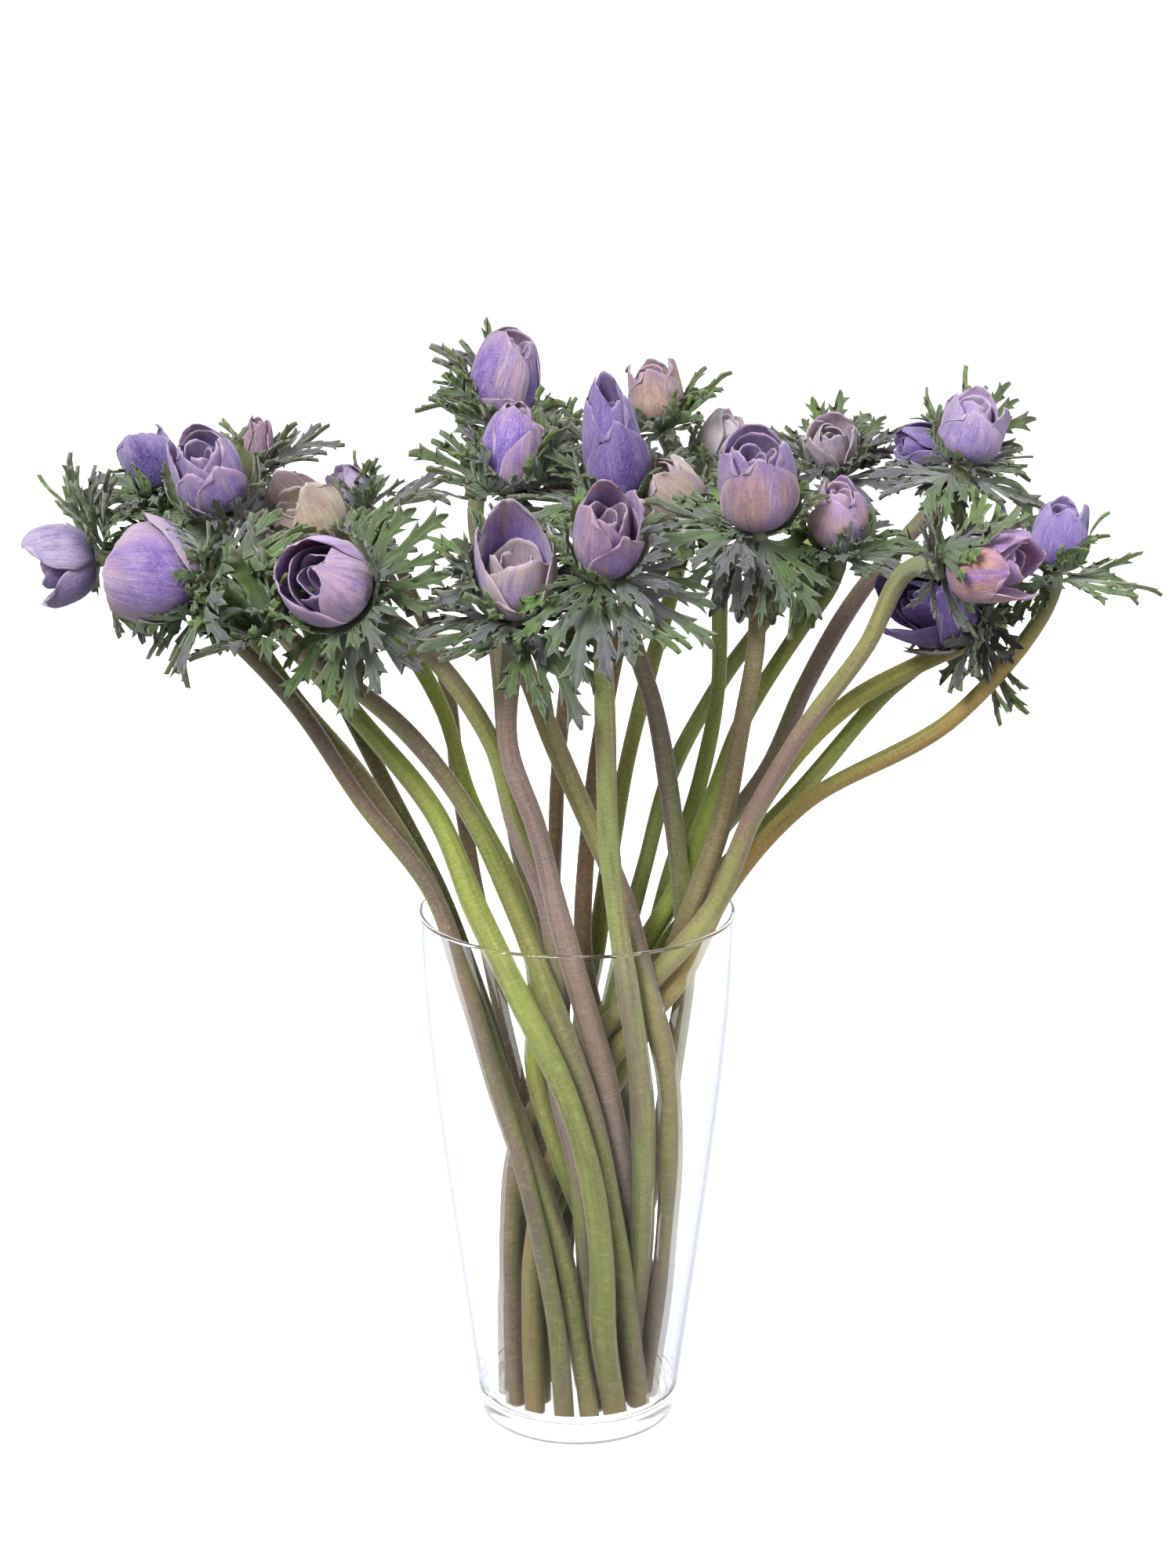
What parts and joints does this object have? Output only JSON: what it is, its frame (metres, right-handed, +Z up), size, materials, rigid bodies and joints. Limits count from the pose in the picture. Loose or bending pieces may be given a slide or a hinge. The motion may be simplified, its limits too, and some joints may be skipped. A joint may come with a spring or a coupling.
{
  "type": "glass vase of cut anemone flowers",
  "caption": "Conical clear glass vase holding a loose bunch of cut anemones, half-open violet and cream blooms above ruffs of cut leaves",
  "frame": {"origin": "centre of the vase's flat underside, on the surface that it stands on", "axes": "+Z up along the vase's axis; +X to the right and +Y to the back as the bunch is seen in the picture"},
  "size_m": [0.5149, 0.2513, 0.5117],
  "materials": {
    "clear_glass": "polished",
    "stem_and_leaf": "matte",
    "petal": "matte"
  },
  "bodies": {
    "root": {"vase": "clear_glass", "stem_01": "stem_and_leaf", "bloom_01": "petal", "stem_02": "stem_and_leaf", "bloom_02": "petal", "stem_03": "stem_and_leaf", "bloom_03": "petal", "stem_04": "stem_and_leaf", "bloom_04": "petal", "stem_05": "stem_and_leaf", "bloom_05": "petal", "stem_06": "stem_and_leaf", "bloom_06": "petal", "stem_07": "stem_and_leaf", "bloom_07": "petal", "stem_08": "stem_and_leaf", "bloom_08": "petal", "stem_09": "stem_and_leaf", "bloom_09": "petal", "stem_10": "stem_and_leaf", "bloom_10": "petal", "stem_11": "stem_and_leaf", "bloom_11": "petal", "stem_12": "stem_and_leaf", "bloom_12": "petal", "stem_13": "stem_and_leaf", "bloom_13": "petal", "stem_14": "stem_and_leaf", "bloom_14": "petal", "stem_15": "stem_and_leaf", "bloom_15": "petal", "stem_16": "stem_and_leaf", "bloom_16": "petal", "stem_17": "stem_and_leaf", "bloom_17": "petal", "stem_18": "stem_and_leaf", "bloom_18": "petal", "stem_19": "stem_and_leaf", "bloom_19": "petal", "stem_20": "stem_and_leaf", "bloom_20": "petal", "stem_21": "stem_and_leaf", "bloom_21": "petal", "stem_22": "stem_and_leaf", "bloom_22": "petal", "stem_23": "stem_and_leaf", "bloom_23": "petal", "stem_24": "stem_and_leaf", "bloom_24": "petal", "stem_25": "stem_and_leaf", "bloom_25": "petal"}
  },
  "joints": []
}
